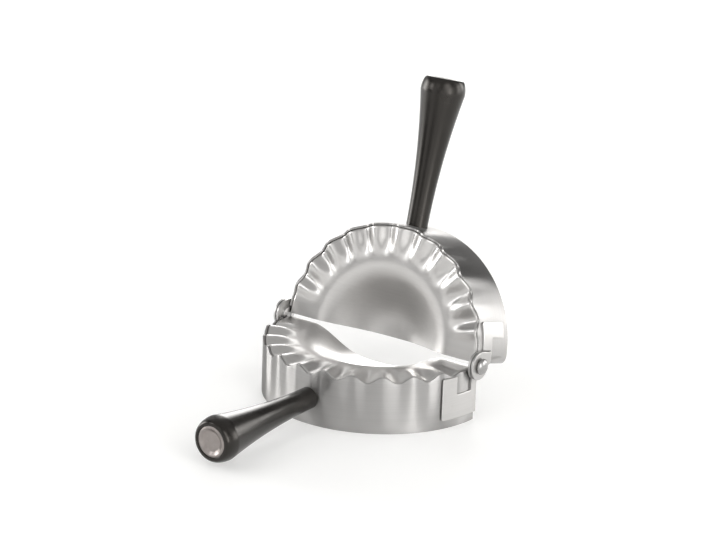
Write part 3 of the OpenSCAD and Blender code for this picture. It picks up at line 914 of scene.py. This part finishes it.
def brush_marks_group():
    """Lines along the sheet: two noises on a stretched place, one fine and one broad, each put out alone."""
    group = bpy.data.node_groups.new("brush_marks", "ShaderNodeTree")
    begin, end = group_sockets(
        group,
        [("Place", "NodeSocketVector", None), ("Stretch", "NodeSocketVector", (20, 20, 4000))],
        [("Marks", "NodeSocketFloat"), ("Broad Marks", "NodeSocketFloat")],
    )
    stretch = group.nodes.new("ShaderNodeVectorMath")
    stretch.operation = "MULTIPLY"
    group.links.new(begin.outputs["Place"], stretch.inputs[0])
    group.links.new(begin.outputs["Stretch"], stretch.inputs[1])
    for name, scale in (("Marks", 1.0), ("Broad Marks", 0.16)):
        noise = group.nodes.new("ShaderNodeTexNoise")
        noise.inputs["Scale"].default_value = scale
        noise.inputs["Detail"].default_value = 4
        noise.inputs["Roughness"].default_value = 0.6
        group.links.new(stretch.outputs[0], noise.inputs["Vector"])
        group.links.new(noise.outputs["Fac"], end.inputs[name])
    return group


def handling_group():
    """Broad soft patches: low noise, drawn to a mask between 0 and 1."""
    group = bpy.data.node_groups.new("handling", "ShaderNodeTree")
    begin, end = group_sockets(
        group,
        [("Place", "NodeSocketVector", None), ("Scale", "NodeSocketFloat", 30.0)],
        [("Patches", "NodeSocketFloat")],
    )
    noise = group.nodes.new("ShaderNodeTexNoise")
    noise.inputs["Detail"].default_value = 3
    noise.inputs["Roughness"].default_value = 0.55
    ramp = group.nodes.new("ShaderNodeMapRange")
    ramp.interpolation_type = "SMOOTHSTEP"
    ramp.inputs["From Min"].default_value = 0.35
    ramp.inputs["From Max"].default_value = 0.7
    group.links.new(begin.outputs["Place"], noise.inputs["Vector"])
    group.links.new(begin.outputs["Scale"], noise.inputs["Scale"])
    group.links.new(noise.outputs["Fac"], ramp.inputs["Value"])
    group.links.new(ramp.outputs["Result"], end.inputs["Patches"])
    return group


BRUSH_MARKS = brush_marks_group()
HANDLING = handling_group()
print("groups:", [g.name for g in bpy.data.node_groups])

# %% [markdown]
# Steel is the same in every piece, and its finish differs. Its base colour differs too: the bands, the end
# caps and the rivets are darker than steel, as painted shade for the darker surroundings they mirror. The cut
# edges are darker, partly as duller sheared steel and partly as painted shade. One helper builds it. The place
# is Object coordinates, turned back to the open, flat half for the back pieces, so that the brush marks lie
# round the band on both halves. The marks change the roughness and the colour a little and feed a faint bump,
# and the wide smear of light across them comes from the shader's own anisotropy. Noise is used rather than a
# picture of brushed steel, because it has no seam and no repeat.

# %% Steel
HAND_SCALE, HAND_ROUGH = 28.0, 0.03
MARK_DEPTH = 0.00005
BRUSH_TURN = 0.25


def place_node(tree, folded):
    """Object coordinates, or for a folded piece the same turned back about the pivot."""
    place = tree.nodes.new("ShaderNodeTexCoord")
    if not folded:
        return place.outputs["Object"]
    mapping = tree.nodes.new("ShaderNodeMapping")
    mapping.vector_type = "TEXTURE"
    mapping.inputs["Location"].default_value = (0, 0, PIVOT_H * MM)
    mapping.inputs["Rotation"].default_value = (math.radians(FOLD), 0, 0)
    tree.links.new(place.outputs["Object"], mapping.inputs["Vector"])
    return mapping.outputs["Vector"]


def use_group(tree, group, **values):
    """Places a node group in a tree, with values for its named inputs. A socket is linked, a number set."""
    node = tree.nodes.new("ShaderNodeGroup")
    node.node_tree = group
    for name, value in values.items():
        socket = node.inputs[name.replace("_", " ")]
        if isinstance(value, bpy.types.NodeSocket):
            tree.links.new(value, socket)
        else:
            socket.default_value = value
    return node


def remap(tree, value, low, high):
    """Draws a value between 0 and 1 to a value between low and high."""
    node = tree.nodes.new("ShaderNodeMapRange")
    node.inputs["To Min"].default_value = low
    node.inputs["To Max"].default_value = high
    tree.links.new(value, node.inputs["Value"])
    return node.outputs["Result"]


def mix_colour(tree, factor, first, second):
    """Mixes two colours by a value."""
    node = tree.nodes.new("ShaderNodeMix")
    node.data_type = "RGBA"
    node.inputs["A"].default_value = (*first, 1)
    node.inputs["B"].default_value = (*second, 1)
    tree.links.new(factor, node.inputs["Factor"])
    return node.outputs["Result"]


def steel(name, folded, dark, bright, rough, stretch, bump, smear=0.0, edge=1.0):
    """A steel with colours from dark to bright along its marks, and roughness between the two values. Smear
    is its anisotropy across the marks, and edge the share of light it still reflects at a grazing angle."""
    material, tree, shader = new_material(name)
    place = place_node(tree, folded)
    marks = use_group(tree, BRUSH_MARKS, Place=place, Stretch=stretch)
    hands = use_group(tree, HANDLING, Place=place, Scale=HAND_SCALE)
    shader.inputs["Metallic"].default_value = 1.0
    shader.inputs["Specular Tint"].default_value = (edge, edge, edge, 1)
    tree.links.new(mix_colour(tree, marks.outputs["Broad Marks"], dark, bright), shader.inputs["Base Color"])
    low = remap(tree, marks.outputs["Marks"], rough[0], rough[1])
    patch = remap(tree, hands.outputs["Patches"], -HAND_ROUGH, HAND_ROUGH)
    total = tree.nodes.new("ShaderNodeMath")
    total.operation = "ADD"
    tree.links.new(low, total.inputs[0])
    tree.links.new(patch, total.inputs[1])
    tree.links.new(total.outputs[0], shader.inputs["Roughness"])
    relief = tree.nodes.new("ShaderNodeBump")
    relief.inputs["Strength"].default_value = bump
    relief.inputs["Distance"].default_value = MARK_DEPTH
    tree.links.new(marks.outputs["Marks"], relief.inputs["Height"])
    tree.links.new(relief.outputs["Normal"], shader.inputs["Normal"])
    if smear:
        shader.inputs["Anisotropic"].default_value = smear
        shader.inputs["Anisotropic Rotation"].default_value = BRUSH_TURN
        tangent = tree.nodes.new("ShaderNodeTangent")
        tangent.direction_type = "UV_MAP"
        tangent.uv_map = "along"
        tree.links.new(tangent.outputs["Tangent"], shader.inputs["Tangent"])
    return material


ALONG_BAND = (14, 14, 5200)
ALONG_X = (30, 4200, 4200)
ALL_ROUND = (3000, 3000, 3000)
FINISH_AND_PAINTED_SHADE = {
    # The band's colour is darker than steel: painted shade, standing in for the darker surroundings it
    # mirrors. Its low edge tint dims it at grazing angles, also painted shade.
    "band": {
        "dark": (0.38, 0.373, 0.367), "bright": (0.46, 0.453, 0.447), "rough": (0.32, 0.38),
        "stretch": ALONG_BAND, "bump": 0.6, "smear": 1.0, "edge": 0.5,
    },
    "cup": {
        "dark": (0.52, 0.51, 0.50), "bright": (0.60, 0.59, 0.58), "rough": (0.28, 0.36),
        "stretch": ALONG_X, "bump": 0.15,
    },
    # The caps' colour is much darker than steel: painted shade, standing in for the grey that their dished
    # faces mirror.
    "cap": {
        "dark": (0.27, 0.244, 0.232), "bright": (0.33, 0.3, 0.287), "rough": (0.32, 0.38),
        "stretch": ALL_ROUND, "bump": 0.05,
    },
    "plate": {
        "dark": (0.54, 0.53, 0.52), "bright": (0.62, 0.61, 0.60), "rough": (0.30, 0.36),
        "stretch": ALONG_BAND, "bump": 0.4, "smear": 0.6, "edge": 0.7,
    },
    # The cut edges are darker than the plates: partly duller sheared steel, partly painted shade for the dark
    # gap along a plate's edge.
    "cut edge": {
        "dark": (0.42, 0.415, 0.41), "bright": (0.5, 0.495, 0.49), "rough": (0.3, 0.42),
        "stretch": ALL_ROUND, "bump": 0.5,
    },
    # The rivets' colour is darker than steel: painted shade, standing in for the dark surroundings their domes
    # mirror.
    "rivet": {
        "dark": (0.34, 0.336, 0.332), "bright": (0.4, 0.395, 0.39), "rough": (0.24, 0.3),
        "stretch": ALL_ROUND, "bump": 0.04,
    },
    "fitting": {
        "dark": (0.52, 0.52, 0.51), "bright": (0.64, 0.64, 0.63), "rough": (0.32, 0.46),
        "stretch": ALL_ROUND, "bump": 0.3,
    },
}
plate_steel = {}
for key, folded in (("front", False), ("back", True)):
    bands[key].data.materials.append(steel(key + "_band_steel", folded, **FINISH_AND_PAINTED_SHADE["band"]))
    cups[key].data.materials.append(steel(key + "_cup_steel", folded, **FINISH_AND_PAINTED_SHADE["cup"]))
    caps[key].data.materials.append(steel(key + "_cap_steel", folded, **FINISH_AND_PAINTED_SHADE["cap"]))
    plate_steel[key] = steel(key + "_plate_steel", folded, **FINISH_AND_PAINTED_SHADE["plate"])
cut_edge = steel("sheared_edge_steel", False, **FINISH_AND_PAINTED_SHADE["cut edge"])
for plate in plates:
    plate.data.materials.append(plate_steel[plate.name.split("_")[0]])
    plate.data.materials.append(cut_edge)
print("steels:", [m.name for m in bpy.data.materials if "steel" in m.name])

# %% [markdown]
# The rivets are polished, so they are smoother than the sheets and have only faint turning marks. The
# fittings inside the handles and under the ears are hardly seen. They could be built anew too, but the
# frame's own shapes are right for them, so they only take a duller steel.

# %% Polished and plain steel
polished = steel("polished_rivet_steel", False, **FINISH_AND_PAINTED_SHADE["rivet"])
plain = steel("plain_fitting_steel", False, **FINISH_AND_PAINTED_SHADE["fitting"])
for word in ("right", "left"):
    bpy.data.objects["rivet_" + word].data.materials.append(polished)
PLAIN_WORDS = ("boss", "rod", "washer", "nut")
fittings = [node for name, node in nodes.items() if any(word in name for word in PLAIN_WORDS)]
for node in fittings:
    node.data.materials.clear()
    node.data.materials.append(plain)
print("plain fittings:", len(fittings))

# %% [markdown]
# The grips are moulded in black plastic with a half gloss. A flat black would look like glass, because
# moulded plastic is never quite smooth. A fine grain breaks up its highlights, and handling leaves patches
# that shine a little more.

# %% Black plastic
GRAIN_SCALE, GRAIN_DEPTH = 2600, 0.00006


def grip_plastic(name, folded):
    """Near-black plastic: grain from a fine noise as bump, and roughness from the handling patches."""
    material, tree, shader = new_material(name)
    place = place_node(tree, folded)
    hands = use_group(tree, HANDLING, Place=place, Scale=45.0)
    tree.links.new(
        mix_colour(tree, hands.outputs["Patches"], (0.0075, 0.0068, 0.0062), (0.012, 0.011, 0.010)),
        shader.inputs["Base Color"],
    )
    tree.links.new(remap(tree, hands.outputs["Patches"], 0.2, 0.27), shader.inputs["Roughness"])
    grain = tree.nodes.new("ShaderNodeTexNoise")
    grain.inputs["Scale"].default_value = GRAIN_SCALE
    grain.inputs["Detail"].default_value = 3
    relief = tree.nodes.new("ShaderNodeBump")
    relief.inputs["Strength"].default_value = 0.25
    relief.inputs["Distance"].default_value = GRAIN_DEPTH
    tree.links.new(place, grain.inputs["Vector"])
    tree.links.new(grain.outputs["Fac"], relief.inputs["Height"])
    tree.links.new(relief.outputs["Normal"], shader.inputs["Normal"])
    shader.inputs["IOR"].default_value = 1.43
    # The warm tint of the grips' reflections is painted reflection colour; the surroundings they mirror are
    # white.
    shader.inputs["Specular Tint"].default_value = (1.0, 0.94, 0.88, 1)
    return material


for key, folded in (("front", False), ("back", True)):
    grips[key].data.materials.append(grip_plastic(key + "_grip_plastic", folded))
print("grips are black plastic")
